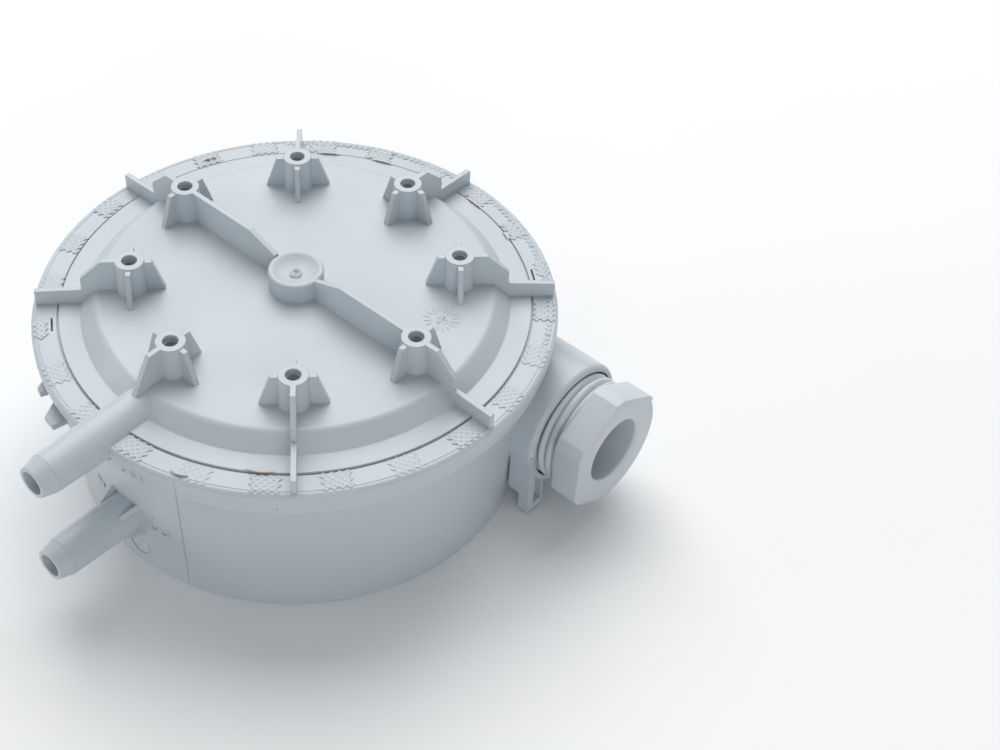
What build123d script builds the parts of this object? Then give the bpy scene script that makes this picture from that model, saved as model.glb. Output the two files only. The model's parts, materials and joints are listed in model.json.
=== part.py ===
from build123d import *
import math
import os

os.makedirs("parts", exist_ok=True)

# Air pressure switch: a round drum with a ribbed cover, two hose nozzles and a cable gland.
# Frame: origin on the drum's axis in its base plane, +Z towards the ribbed cover,
# +X out of the cable gland, -Y out of the hose nozzles. All sizes are in millimetres.

# Drum and skirt
DRUM_R = 39.0             # drum wall under the skirt
DRUM_DRAFT = 1.0          # radius that the wall loses down to the base
DRUM_WALL = 2.4
INNER_DRAFT = 0.8         # radius that the compartment loses down to the ledge
SKIRT_OVERHANG = 3.0      # skirt beyond the drum wall
SKIRT_DRAFT = 0.2
SKIRT_H = 2.7
RIM_LIP = 0.6             # cover's lip beyond the skirt

# Lid, seal and the ledge that the seal presses on
LID_T = 2.0
LID_GAP = 0.2
RIM_WALL = 2.2            # drum wall round the lid
SEAL_T = 1.0
SEAL_W = 2.0
LEDGE_T = 1.5
LEDGE_W = 2.6

# Compartment and lower pressure chamber
COMPARTMENT_H = 17.5      # base plane to the compartment's ceiling
CEILING_T = 1.8
CHAMBER_H = 6.5
CHAMBER_WALL = 1.7
SHELF_W = 8.3             # shelf that carries the diaphragm's bead
SHELF_T = 1.6
BUSH_R = 5.0
BUSH_DROP = 2.3
BUSH_RISE = 1.2

# Cover
BEAD_T = 1.0              # diaphragm's clamped bead
BEAD_INSET = 0.6          # bead's inner edge outside the cover's cavity
SPIGOT_H = 2.2
SPIGOT_GAP = 0.3
SPIGOT_WALL = 1.4         # housing wall round the spigot
LIP_H = 2.3
LIP_ROUND = 0.7
LIP_UNDER_ROUND = 0.5
BAND_W = 3.45
GROOVE_W = 0.35
GROOVE_D = 0.35
SHOULDER_STEP = 0.2       # shoulder above the band
SLOPE_RUN = 2.6
PLATEAU_RISE = 2.7        # plateau above the shoulder
PLATEAU_T = 2.0
PLATEAU_ROUND = 1.3
SHOULDER_W = 3.45
CAVITY_WALL = 0.8
SLIT_ANGLES = (51.7, 232.8)   # narrow slits in the rim band
SLIT_R = 39.3
SLIT_L = 3.1
SLIT_W = 0.3
SLIT_D = 1.2

# Screw bosses and ribs on the cover
BOSS_COUNT = 8
SPINE_BOSSES = (0, 4)     # joined by the long rib
NOZZLE_BOSS = 6           # in line with the upper nozzle
BOSS_CIRCLE_R = 26.3
BOSS_TOP_R = 2.35
BOSS_FOOT_R = 2.55
BOSS_H = 5.8
HOLE_R = 1.25
HOLE_DEPTH = 6.5
RIB_T = 0.9
GUSSET_TOP = 3.5          # from the boss's axis
GUSSET_FOOT = 5.4
RIB_FLAT = 4.5            # outward rib's level top, from the boss's axis
RIB_SLOPE = 3.6
RIB_FALL = 3.4
RIDGE_H = 2.6             # low ridge above the band
RIDGE_FALL = 0.3
RIDGE_INSET = 0.6         # from the lip's edge
GUSSET_DROP = 0.2
HUB_R = 4.5
HUB_H = 3.5
HUB_DISH = 1.1
HUB_RIM = 0.6
HUB_ROUND = 0.4
GATE_R = 0.75
GATE_H = 0.35
SPINE_LEVEL_R = 10.4      # where the long rib starts to fall to the hub
SPINE_FALL = 2.0

# Hose nozzles
NOZZLE_R = 3.25
NOZZLE_COLLAR = 0.2       # extra radius of the nozzle's root
UPPER_COLLAR_OUT = 0.4    # upper root beyond the rim
LOWER_COLLAR_OUT = 3.6    # lower root beyond the drum wall
NOZZLE_BORE_R = 2.0
NOZZLE_TIP_R = 2.6
NOZZLE_TAPER = 2.4
UPPER_OUT = 15.0          # upper nozzle's tip beyond the drum wall
LOWER_OUT = 14.8
UPPER_DROP = 0.85         # upper nozzle's axis under the band
LOWER_Z = 11.3
NOTCH_GAP = 0.2
ROOT_RISE = 1.6
ROOT_RUN = 4.3
ROOT_SINK = 0.4           # root ribs' hold in the nozzle
DUCT_WALL = 1.6
DUCT_R = 1.8
DUCT_INSET = 3.3          # duct's upright leg inside the chamber's wall

# Cable gland
GLAND_Y = 22.8
GLAND_Z = 13.9
GLAND_OUT = 2.2           # boss's mouth beyond the drum wall
THREAD_R = 9.9
THREAD_GAP = 0.08
GLAND_WALL = 1.1
GLAND_DEPTH = 11.2
GLAND_FLOOR = 1.5
GLAND_ROUND = 0.9
GLAND_BODY = 25.2         # boss's mouth to its inner end
CABLE_HOLE_R = 6.5
WINDOW_DROP = 0.5         # wire window's top under the compartment's ceiling
CABLE_R = 5.7
SEAT_RING_T = 3.0
WASHER_T = 1.0
WASHER_GAP = 0.4
SEAL_GAP = 0.3
SCREW_FREE = 2.0          # free travel left before the washer meets the seal
HEX_AF = 19.6
HEX_CORNER_R = 10.8       # circle that cuts the hexagon's corners
HEX_T = 4.9
HEX_STANDOFF = 3.7
HEX_ROUND = 0.6
HEX_TURN = -1.0
BORE_ROUND = 0.4

# Web and slotted tab under the gland
WEB_Y = 12.0
WEB_T = 1.3
WEB_BOTTOM = 4.0
TAB_T = 2.1
TAB_W = 3.7
TAB_BOTTOM = 0.5
TAB_BAR = 1.4
TAB_SIDE = 0.3
TAB_SLOT_D = 1.4

# Catch teeth on the skirt
TOOTH_H = 1.0
TOOTH_SINK = 0.5          # tooth's hold in the skirt
TEETH = ((251.0, 254.5, 257.5, 2.4), (243.5, 246.0, 247.5, 1.4))

# Diaphragm, plate and plunger
MEMBRANE_T = 0.8
FOLD_R = 2.2
FOLD_INSET = 2.75         # fold's middle inside the cover's cavity
PLATE_INSET = 4.0         # plate's edge inside the fold's middle
PLATE_T = 1.6
PLATE_HUB_R = 4.0
PLATE_HUB_H = 2.3
PLATE_RIB_INSET = 2.0     # ribs' ends inside the plate's edge
PLATE_RIB_RISE = 1.15     # ribs' feet under the plate
STEM_R = 2.0
RUN_GAP = 0.05
PRESS_GAP = 0.02          # stem in the plate's socket
FLANGE_R = 6.5
FLANGE_T = 1.8
ARM_W = 4.0

# Setting dial, spring seat and spring
DIAL_R = 9.0
DIAL_T = 2.4
DIAL_LIFT = 0.8
DIAL_GAP = 0.2
DIAL_NOTCHES = 24
DIAL_NOTCH_R = 0.5
DIAL_SLOT_L = 12.6
DIAL_SLOT_W = 1.2
DIAL_SLOT_D = 0.9
NECK_R = 3.0
SPINDLE_R = 2.5
SPINDLE_TOP_GAP = 2.4
SEAT_T = 1.5
SEAT_SIDE = 10.6
WIRE_R = 0.3
COIL_R = 4.3
COIL_TURNS = 3

# Switch holder and switch
HOLDER_T = 1.5
HOLDER_W = 15.0
HOLDER_POST_X = 17.0
HOLDER_POST_R = 3.0
HOLDER_EAR = 1.0          # plate beyond its posts
HOLDER_BACK_H = 7.0       # wall that the switch is screwed to
HOLDER_WALL = 2.0
HOLDER_WALL_Y = 8.2
GUIDE_T = 1.2
GUIDE_H = 3.4
SWITCH_L = 20.0
SWITCH_D = 6.4
SWITCH_H = 9.0
SWITCH_ROUND = 0.4
BUTTON_R = 1.2
BUTTON_OUT = 1.0
BUTTON_IN = 2.0
SWITCH_SCREW_SPACING = 9.5
SWITCH_SCREW_UP = 3.0
TERMINAL_INSET = 3.0      # outer tongue's middle inside the switch's end
TERMINAL_W = 4.0
TERMINAL_T = 0.8
TERMINAL_L = 7.0
TERMINAL_UP = 3.4

# Small screws
SHANK_R = 1.22
PILOT_GAP = 0.03
SHANK_L = 7.5
HEAD_R = 2.5
HEAD_H = 1.5
SMALL_HEAD_R = 1.9
SMALL_HEAD_H = 1.2
SLOT_W = 0.6
SLOT_D = 0.5
LID_SCREW_INSET = 6.4     # from the lid's edge
LID_SCREW_ANGLES = (95.0, 215.0, 335.0)
LID_BOSS_H = 1.4
LID_BOSS_R = 3.6
LID_POST_R = 3.0
HEAD_SINK = 0.2
HEAD_CLEAR = 0.4
SHANK_CLEAR = 0.35

# Levels, from the base upwards
seal_z = LID_T
ledge_z = seal_z + SEAL_T
dial_z = LID_T + DIAL_LIFT
holder_z = dial_z + DIAL_T + DIAL_GAP
holder_top = holder_z + HOLDER_T
seat_z = holder_top + DIAL_GAP
bush_z = COMPARTMENT_H - BUSH_DROP
flange_z = bush_z - FLANGE_T
spring_z = seat_z + SEAT_T
chamber_z = COMPARTMENT_H + CEILING_T
shelf_z = chamber_z + CHAMBER_H
spigot_z = shelf_z + BEAD_T
skirt_top = spigot_z + SPIGOT_H
skirt_z = skirt_top - SKIRT_H
band_z = skirt_top + LIP_H
shoulder_z = band_z + SHOULDER_STEP
plateau_z = shoulder_z + PLATEAU_RISE
ceiling_z = plateau_z - PLATEAU_T
top_z = plateau_z + BOSS_H
upper_nozzle_z = band_z - UPPER_DROP

# Radii
base_r = DRUM_R - DRUM_DRAFT
skirt_r = DRUM_R + SKIRT_OVERHANG
rim_r = skirt_r + RIM_LIP
socket_r = DRUM_R - SPIGOT_WALL
spigot_r = socket_r - SPIGOT_GAP
chamber_r = socket_r - SHELF_W
band_in_r = rim_r - RIM_LIP - BAND_W
shoulder_r = band_in_r - GROOVE_W
slope_foot_r = shoulder_r - SHOULDER_W
plateau_r = slope_foot_r - SLOPE_RUN
cavity_r = plateau_r - CAVITY_WALL
lid_hole_r = base_r - RIM_WALL
lid_r = lid_hole_r - LID_GAP
pilot_r = SHANK_R + PILOT_GAP
fold_r = cavity_r - FOLD_INSET
plate_r = fold_r - PLATE_INSET
lid_screw_r = lid_r - LID_SCREW_INSET
boss_r = THREAD_R + GLAND_WALL

# Reaches of the nozzles, the duct and the gland
upper_reach = DRUM_R + UPPER_OUT
lower_reach = DRUM_R + LOWER_OUT
upper_collar = rim_r + UPPER_COLLAR_OUT
lower_collar = DRUM_R + LOWER_COLLAR_OUT
duct_reach = chamber_r - DUCT_INSET
mouth_x = DRUM_R + GLAND_OUT
seal_x = mouth_x - GLAND_DEPTH
floor_x = seal_x - GLAND_FLOOR
hex_x = mouth_x + HEX_STANDOFF

# Levels and places of the switch
switch_top = flange_z - BUTTON_OUT
switch_z = switch_top - SWITCH_H
switch_y = HOLDER_WALL_Y + HOLDER_WALL
switch_screw_z = holder_top + SWITCH_SCREW_UP
button_y = switch_y + SWITCH_D / 2
terminal_y = switch_y + SWITCH_D
terminal_z = switch_z + TERMINAL_UP
terminal_pitch = SWITCH_L / 2 - TERMINAL_INSET


def spun(points):
    """Solid of revolution about Z from (radius, height) points."""
    return revolve(Plane.XZ * make_face(Polyline(*points, close=True)), Axis.Z)


def fin(points, angle, centre=(0.0, 0.0)):
    """Rib of the standard thickness from (reach, height) points, standing at an angle."""
    plate = extrude(Plane.XZ * make_face(Polyline(*points, close=True)), RIB_T / 2, both=True)
    return Pos(centre[0], centre[1], 0) * Rot(0, 0, angle) * plate


def peg(radius, bottom, top, x=0.0, y=0.0):
    """Upright cylinder between two heights."""
    return Pos(x, y, (bottom + top) / 2) * Cylinder(radius, top - bottom)


def rod_x(radius, start, end, y, z):
    """Cylinder along X between two places."""
    return Pos((start + end) / 2, y, z) * Rot(0, 90, 0) * Cylinder(radius, end - start)


def rod_y(radius, start, end, x, z):
    """Cylinder along Y between two places."""
    return Pos(x, (start + end) / 2, z) * Rot(90, 0, 0) * Cylinder(radius, end - start)


def block(x, y, z):
    """Box from its three (low, high) ranges."""
    centre = [(low + high) / 2 for low, high in (x, y, z)]
    return Pos(*centre) * Box(x[1] - x[0], y[1] - y[0], z[1] - z[0])


def on_circle(radius, angle):
    """Point on a circle about the drum's axis."""
    turn = math.radians(angle)
    return radius * math.cos(turn), radius * math.sin(turn)


def ring_edges(solid, radius, height):
    """Level circular edges of one radius at one height."""
    rounds = solid.edges().filter_by(GeomType.CIRCLE)
    return [edge for edge in rounds
            if abs(edge.radius - radius) < 0.01 and abs(edge.arc_center.Z - height) < 0.01]


def pan_screw(shank_l, head_r=HEAD_R, head_h=HEAD_H):
    """Slotted pan-head screw, its shank upwards from the head's seat at Z = 0."""
    head = fillet(peg(head_r, -head_h, 0).faces().sort_by(Axis.Z)[0].edges(), head_h * 0.4)
    slot = block((-head_r, head_r), (-SLOT_W / 2, SLOT_W / 2), (-head_h, SLOT_D - head_h))
    point = Pos(0, 0, shank_l - SHANK_R / 2) * Cone(SHANK_R, SHANK_R / 2, SHANK_R)
    return head + peg(SHANK_R, 0, shank_l - SHANK_R) + point - slot


def nozzle(start, collar, reach):
    """Hose nozzle along +Z: a slightly thicker root, a straight length for the hose and a tapered tip."""
    root_r = NOZZLE_R + NOZZLE_COLLAR
    shank_end = reach - NOZZLE_TAPER
    return spun([(0, start), (root_r, start), (root_r, collar), (NOZZLE_R, collar), (NOZZLE_R, shank_end),
                 (NOZZLE_TIP_R, reach), (0, reach)])


def boss_fins(index):
    """Ribs round one screw boss: one outwards, one inwards and two sideways."""
    angle = 360.0 / BOSS_COUNT * index
    centre = on_circle(BOSS_CIRCLE_R, angle)
    gusset_z = top_z - GUSSET_DROP
    gusset = [(0, ceiling_z), (GUSSET_FOOT, ceiling_z), (GUSSET_FOOT, plateau_z),
              (GUSSET_TOP, gusset_z), (0, gusset_z)]
    fins = [fin(gusset, angle + 90, centre), fin(gusset, angle - 90, centre)]
    if index not in SPINE_BOSSES:
        fins.append(fin(gusset, angle + 180, centre))
    flat_r = BOSS_CIRCLE_R + RIB_FLAT
    step_r = flat_r + RIB_SLOPE
    if index == NOZZLE_BOSS:
        crest = [(step_r, upper_nozzle_z + NOZZLE_R), (step_r, ceiling_z)]
    else:
        ridge_end = rim_r - RIDGE_INSET
        crest = [(step_r, top_z - RIB_FALL), (step_r, band_z + RIDGE_H + RIDGE_FALL),
                 (ridge_end, band_z + RIDGE_H), (ridge_end, skirt_top + LIP_H / 2),
                 (step_r, skirt_top + LIP_H / 2)]
    outline = [(BOSS_CIRCLE_R, skirt_top), (BOSS_CIRCLE_R, top_z), (flat_r, top_z)] + crest
    outline.append((step_r, skirt_top))
    fins.append(fin(outline, angle))
    return fins


def back_cover():
    """Ribbed cover with eight screw bosses, a hub and the upper hose nozzle."""
    cover = spun([
        (0, plateau_z), (plateau_r, plateau_z), (slope_foot_r, shoulder_z),
        (shoulder_r, shoulder_z), (shoulder_r, band_z - GROOVE_D), (band_in_r, band_z - GROOVE_D),
        (band_in_r, band_z), (rim_r, band_z), (rim_r, skirt_top), (spigot_r, skirt_top),
        (spigot_r, spigot_z), (0, spigot_z),
    ])
    cover = fillet(ring_edges(cover, rim_r, band_z), LIP_ROUND)
    cover = fillet(ring_edges(cover, rim_r, skirt_top), LIP_UNDER_ROUND)
    cover = fillet(ring_edges(cover, plateau_r, plateau_z), PLATEAU_ROUND)
    ribs = []
    for index in range(BOSS_COUNT):
        ribs += boss_fins(index)
        x, y = on_circle(BOSS_CIRCLE_R, 360.0 / BOSS_COUNT * index)
        ribs.append(Pos(x, y, plateau_z + BOSS_H / 2) * Cone(BOSS_FOOT_R, BOSS_TOP_R, BOSS_H))
    spine_r = BOSS_CIRCLE_R
    spine = [(-spine_r, ceiling_z), (spine_r, ceiling_z), (spine_r, top_z), (SPINE_LEVEL_R, top_z),
             (HUB_R, top_z - SPINE_FALL), (-HUB_R, top_z - SPINE_FALL), (-SPINE_LEVEL_R, top_z),
             (-spine_r, top_z)]
    ribs.append(fin(spine, 0))
    cover = cover + ribs
    hub_z = plateau_z + HUB_H
    hub = peg(HUB_R, ceiling_z, hub_z)
    dish_r = HUB_R - HUB_RIM
    dish_floor = hub_z - HUB_DISH
    bowl_r = (dish_r ** 2 + HUB_DISH ** 2) / (2 * HUB_DISH)
    bowl = Pos(0, 0, dish_floor + bowl_r) * Sphere(bowl_r) & peg(dish_r, dish_floor, hub_z)
    hub = fillet(hub.faces().sort_by(Axis.Z)[-1].edges(), HUB_ROUND)
    cover = cover - peg(HUB_R, hub_z - HUB_ROUND, top_z) + hub - bowl
    cover += peg(GATE_R, dish_floor - GATE_H, dish_floor + GATE_H)
    upper = nozzle(cavity_r, upper_collar, upper_reach)
    cover += Pos(0, 0, upper_nozzle_z) * Rot(90, 0, 0) * upper
    cover -= peg(cavity_r, spigot_z - 1, ceiling_z)
    cover -= rod_y(NOZZLE_BORE_R, -upper_reach - 1, -upper_collar, 0, upper_nozzle_z)
    cover -= rod_y(DUCT_R, -upper_collar - 1, -cavity_r + 1, 0, upper_nozzle_z)
    for index in range(BOSS_COUNT):
        x, y = on_circle(BOSS_CIRCLE_R, 360.0 / BOSS_COUNT * index)
        cover -= peg(HOLE_R, top_z - HOLE_DEPTH, top_z + 1, x, y)
    for angle in SLIT_ANGLES:
        slit = block((SLIT_R - SLIT_W / 2, SLIT_R + SLIT_W / 2), (-SLIT_L / 2, SLIT_L / 2),
                     (band_z - SLIT_D, band_z + 1))
        cover -= Rot(0, 0, angle) * slit
    return cover


def tooth(start, peak, end, height):
    """Catch tooth on the skirt: a ramp up to its peak and a short face back."""
    inner = skirt_r - SKIRT_DRAFT - TOOTH_SINK
    outline = [on_circle(inner, start), on_circle(skirt_r - SKIRT_DRAFT, start),
               on_circle(skirt_r + height, peak), on_circle(skirt_r + height * 0.9, end),
               on_circle(inner, end)]
    face = make_face(Polyline(*outline, close=True))
    return Pos(0, 0, skirt_z) * extrude(face, TOOTH_H)


def drum():
    """Drum wall, shelf, lower pressure chamber and plunger bush in one turned form."""
    wall_in = base_r - DRUM_WALL
    return spun([
        (base_r, 0), (DRUM_R, skirt_z), (skirt_r - SKIRT_DRAFT, skirt_z), (skirt_r, skirt_top),
        (socket_r, skirt_top), (socket_r, shelf_z), (chamber_r, shelf_z), (chamber_r, chamber_z),
        (BUSH_R, chamber_z), (BUSH_R, chamber_z + BUSH_RISE), (STEM_R + RUN_GAP, chamber_z + BUSH_RISE),
        (STEM_R + RUN_GAP, bush_z), (BUSH_R, bush_z), (BUSH_R, COMPARTMENT_H),
        (chamber_r + CHAMBER_WALL, COMPARTMENT_H), (chamber_r + CHAMBER_WALL, shelf_z - SHELF_T),
        (wall_in + INNER_DRAFT, shelf_z - SHELF_T), (wall_in, ledge_z + LEDGE_T),
        (lid_hole_r - LEDGE_W, ledge_z + LEDGE_T), (lid_hole_r - LEDGE_W, ledge_z),
        (lid_hole_r, ledge_z), (lid_hole_r, 0),
    ])


def gland_boss():
    """Threaded boss of the cable gland with its web and slotted tab."""
    boss = rod_x(boss_r, mouth_x - GLAND_BODY, mouth_x, GLAND_Y, GLAND_Z)
    boss = fillet(boss.faces().sort_by(Axis.X)[-1].edges(), GLAND_ROUND)
    boss -= peg(base_r - DRUM_WALL, -1, shelf_z)
    boss += rod_x(boss_r, floor_x, mouth_x - 2 * GLAND_ROUND, GLAND_Y, GLAND_Z)
    tab_x = mouth_x - TAB_T
    web = block((base_r - DRUM_WALL / 2, tab_x), (WEB_Y, WEB_Y + WEB_T), (WEB_BOTTOM, GLAND_Z))
    tab = block((tab_x, mouth_x), (WEB_Y, WEB_Y + TAB_W), (TAB_BOTTOM, GLAND_Z))
    slot = block((mouth_x - TAB_SLOT_D, mouth_x + 1),
                 (WEB_Y + TAB_BAR, WEB_Y + TAB_W - TAB_SIDE),
                 (TAB_BOTTOM + TAB_BAR, GLAND_Z))
    return boss + web + (tab - slot)


def housing():
    """Drum with the lower hose nozzle, the gland's boss, the catch teeth and the inner posts."""
    body = drum() + gland_boss()
    for catch in TEETH:
        body += tooth(*catch)
    body += Pos(0, 0, LOWER_Z) * Rot(90, 0, 0) * nozzle(duct_reach, lower_collar, lower_reach)
    half = NOZZLE_BORE_R + DUCT_WALL
    body += block((-half, half), (-base_r + DRUM_WALL / 2, DUCT_WALL + DUCT_R - duct_reach),
                  (LOWER_Z - half, COMPARTMENT_H + CEILING_T / 2))
    root_in = NOZZLE_R - ROOT_SINK
    root = [(root_in, base_r - 1), (NOZZLE_R + ROOT_RISE, base_r - 1), (NOZZLE_R + ROOT_RISE, base_r),
            (NOZZLE_R, base_r + ROOT_RUN), (root_in, base_r + ROOT_RUN)]
    for angle in (45, 135, 225, 315):
        body += Pos(0, 0, LOWER_Z) * Rot(90, 0, 0) * fin(root, angle)
    for angle in LID_SCREW_ANGLES:
        x, y = on_circle(lid_screw_r, angle)
        body += peg(LID_POST_R, LID_T + LID_BOSS_H, shelf_z - SHELF_T / 2, x, y)
    for side in (-1, 1):
        body += peg(HOLDER_POST_R, holder_top, COMPARTMENT_H + CEILING_T / 2, side * HOLDER_POST_X, 0)
    body -= rod_y(NOZZLE_BORE_R, -lower_reach - 1, -lower_collar, 0, LOWER_Z)
    body -= rod_y(DUCT_R, -lower_collar - 1, -duct_reach, 0, LOWER_Z)
    body -= peg(DUCT_R, LOWER_Z - DUCT_R, chamber_z + 1, 0, -duct_reach)
    body -= rod_y(NOZZLE_R + NOZZLE_COLLAR + NOTCH_GAP, -skirt_r - 3, -socket_r + 1, 0, upper_nozzle_z)
    body -= rod_x(THREAD_R, seal_x, mouth_x + 1, GLAND_Y, GLAND_Z)
    body -= rod_x(CABLE_HOLE_R, floor_x - 1, seal_x + 1, GLAND_Y, GLAND_Z)
    body -= block((mouth_x - GLAND_BODY, floor_x), (GLAND_Y - CABLE_HOLE_R, GLAND_Y + CABLE_HOLE_R),
                  (GLAND_Z - CABLE_HOLE_R, COMPARTMENT_H - WINDOW_DROP))
    for angle in LID_SCREW_ANGLES:
        x, y = on_circle(lid_screw_r, angle)
        body -= peg(pilot_r, 0, LID_T + LID_BOSS_H + SHANK_L, x, y)
    for side in (-1, 1):
        body -= peg(pilot_r, holder_z, holder_top + SHANK_L, side * HOLDER_POST_X, 0)
    return body


def front_cover():
    """Flat lid of the switch compartment with sunk places for its three screws."""
    lid = peg(lid_r, 0, LID_T)
    for angle in LID_SCREW_ANGLES:
        x, y = on_circle(lid_screw_r, angle)
        lid += peg(LID_BOSS_R, 0, LID_T + LID_BOSS_H, x, y)
    for angle in LID_SCREW_ANGLES:
        x, y = on_circle(lid_screw_r, angle)
        lid -= peg(HEAD_R + HEAD_CLEAR, -1, HEAD_SINK + HEAD_H, x, y)
        lid -= peg(SHANK_R + SHANK_CLEAR, 0, LID_T + LID_BOSS_H + 1, x, y)
    return lid


def cover_seal():
    """Flat rubber ring between the lid and the drum's ledge."""
    outer = lid_hole_r - LID_GAP
    return peg(outer, seal_z, ledge_z) - peg(outer - SEAL_W, seal_z - 1, ledge_z + 1)


def diaphragm():
    """Rubber diaphragm with a clamped bead and one rolled fold."""
    low = shelf_z + (BEAD_T - MEMBRANE_T) / 2
    high = low + MEMBRANE_T
    inner = FOLD_R - MEMBRANE_T / 2
    outer = FOLD_R + MEMBRANE_T / 2
    foot = math.sqrt(outer ** 2 - MEMBRANE_T ** 2)
    bead_r = cavity_r + BEAD_INSET
    edge = [
        Line((0, low), (fold_r - inner, low)),
        ThreePointArc((fold_r - inner, low), (fold_r, low + inner), (fold_r + inner, low)),
        Polyline((fold_r + inner, low), (bead_r, low), (bead_r, shelf_z), (spigot_r, shelf_z),
                 (spigot_r, spigot_z), (bead_r, spigot_z), (bead_r, high), (fold_r + foot, high)),
        ThreePointArc((fold_r + foot, high), (fold_r, low + outer), (fold_r - foot, high)),
        Polyline((fold_r - foot, high), (0, high), (0, low)),
    ]
    return revolve(Plane.XZ * make_face(Curve() + edge), Axis.Z)


def diaphragm_plate():
    """Stiff disc under the diaphragm with the plunger's socket."""
    top = shelf_z + (BEAD_T - MEMBRANE_T) / 2
    low = top - PLATE_T
    plate = peg(plate_r, low, top) + peg(PLATE_HUB_R, low - PLATE_HUB_H, low)
    rib_z = low - PLATE_RIB_RISE
    rib_end = plate_r - PLATE_RIB_INSET
    for angle in range(0, 360, 60):
        plate += fin([(0, top), (0, rib_z), (PLATE_HUB_R, rib_z), (rib_end, low), (rib_end, top)], angle)
    return plate - peg(STEM_R + PRESS_GAP, low - PLATE_HUB_H - 1, low)


def plunger():
    """Stem, spring flange and the arm that works the switch's button."""
    low = shelf_z + (BEAD_T - MEMBRANE_T) / 2 - PLATE_T
    body = peg(STEM_R, flange_z, low) + peg(FLANGE_R, flange_z, bush_z)
    tip_y = HOLDER_WALL_Y + HOLDER_WALL + SWITCH_D / 2
    arm = block((-ARM_W / 2, ARM_W / 2), (0, tip_y), (flange_z, bush_z))
    return body + arm + peg(ARM_W / 2, flange_z, bush_z, 0, tip_y)


def range_spring():
    """Compression spring between the spring seat and the plunger's flange."""
    rise = flange_z - spring_z - 2 * WIRE_R
    coil = Helix(rise / COIL_TURNS, rise, COIL_R)
    wire = sweep(Plane(coil @ 0, z_dir=coil % 0) * Circle(WIRE_R), coil)
    return Pos(0, 0, spring_z + WIRE_R) * wire


def spring_seat():
    """Square nut that the spring stands on."""
    nut = block((-SEAT_SIDE / 2, SEAT_SIDE / 2), (-SEAT_SIDE / 2, SEAT_SIDE / 2), (seat_z, seat_z + SEAT_T))
    return nut - peg(SPINDLE_R + RUN_GAP, seat_z - 1, seat_z + SEAT_T + 1)


def setting_dial():
    """Knurled dial on a neck, with the spindle that carries the spring seat."""
    dial = peg(DIAL_R, dial_z, dial_z + DIAL_T)
    for index in range(DIAL_NOTCHES):
        x, y = on_circle(DIAL_R, 360.0 / DIAL_NOTCHES * index)
        dial -= peg(DIAL_NOTCH_R, dial_z - 1, dial_z + DIAL_T + 1, x, y)
    dial -= block((-DIAL_SLOT_L / 2, DIAL_SLOT_L / 2), (-DIAL_SLOT_W / 2, DIAL_SLOT_W / 2),
                  (dial_z - 1, dial_z + DIAL_SLOT_D))
    neck = peg(NECK_R, dial_z + DIAL_T, holder_top)
    return dial + neck + peg(SPINDLE_R, holder_top, flange_z - SPINDLE_TOP_GAP)


def switch_holder():
    """Moulded bridge that guides the dial and the spring seat and carries the switch."""
    plate = block((-HOLDER_POST_X, HOLDER_POST_X), (-HOLDER_W / 2, HOLDER_WALL_Y + HOLDER_WALL),
                  (holder_z, holder_top))
    for side in (-1, 1):
        plate += peg(HOLDER_POST_R + HOLDER_EAR, holder_z, holder_top, side * HOLDER_POST_X, 0)
        guide = SEAT_SIDE / 2 + RUN_GAP
        plate += block(sorted((side * guide, side * (guide + GUIDE_T))),
                       (-SEAT_SIDE / 2, SEAT_SIDE / 2), (holder_top, holder_top + GUIDE_H))
    back = block((-SWITCH_L / 2, SWITCH_L / 2), (HOLDER_WALL_Y, HOLDER_WALL_Y + HOLDER_WALL),
                 (holder_z, holder_z + HOLDER_BACK_H))
    plate = plate + back - peg(NECK_R + RUN_GAP, holder_z - 1, holder_top + 1)
    for side in (-1, 1):
        plate -= peg(SHANK_R + SHANK_CLEAR, holder_z - 1, holder_top + 1, side * HOLDER_POST_X, 0)
        plate -= rod_y(pilot_r, HOLDER_WALL_Y - 1, HOLDER_WALL_Y + HOLDER_WALL + 1,
                       side * SWITCH_SCREW_SPACING / 2, switch_screw_z)
    return plate


def switch_case():
    """Case of the snap-action switch."""
    case = block((-SWITCH_L / 2, SWITCH_L / 2), (switch_y, switch_y + SWITCH_D), (switch_z, switch_top))
    case = fillet(case.edges().filter_by(Axis.Y), SWITCH_ROUND)
    case -= peg(BUTTON_R + RUN_GAP, switch_top - BUTTON_IN, switch_top + 1, 0, button_y)
    for side in (-1, 1):
        case -= rod_y(SHANK_R + RUN_GAP, switch_y - 1, switch_y + SWITCH_D + 1,
                      side * SWITCH_SCREW_SPACING / 2, switch_screw_z)
    return case


def switch_button():
    """Round button of the switch."""
    return peg(BUTTON_R, switch_top - BUTTON_OUT, flange_z, 0, button_y)


def terminal(index):
    """Flat brass tongue with a tapped hole."""
    x = (index - 1) * terminal_pitch
    hole_y = terminal_y + TERMINAL_L - HEAD_R
    tongue = block((x - TERMINAL_W / 2, x + TERMINAL_W / 2), (terminal_y, terminal_y + TERMINAL_L),
                   (terminal_z, terminal_z + TERMINAL_T))
    return tongue - peg(SHANK_R + RUN_GAP, terminal_z - 1, terminal_z + 2, x, hole_y)


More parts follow.
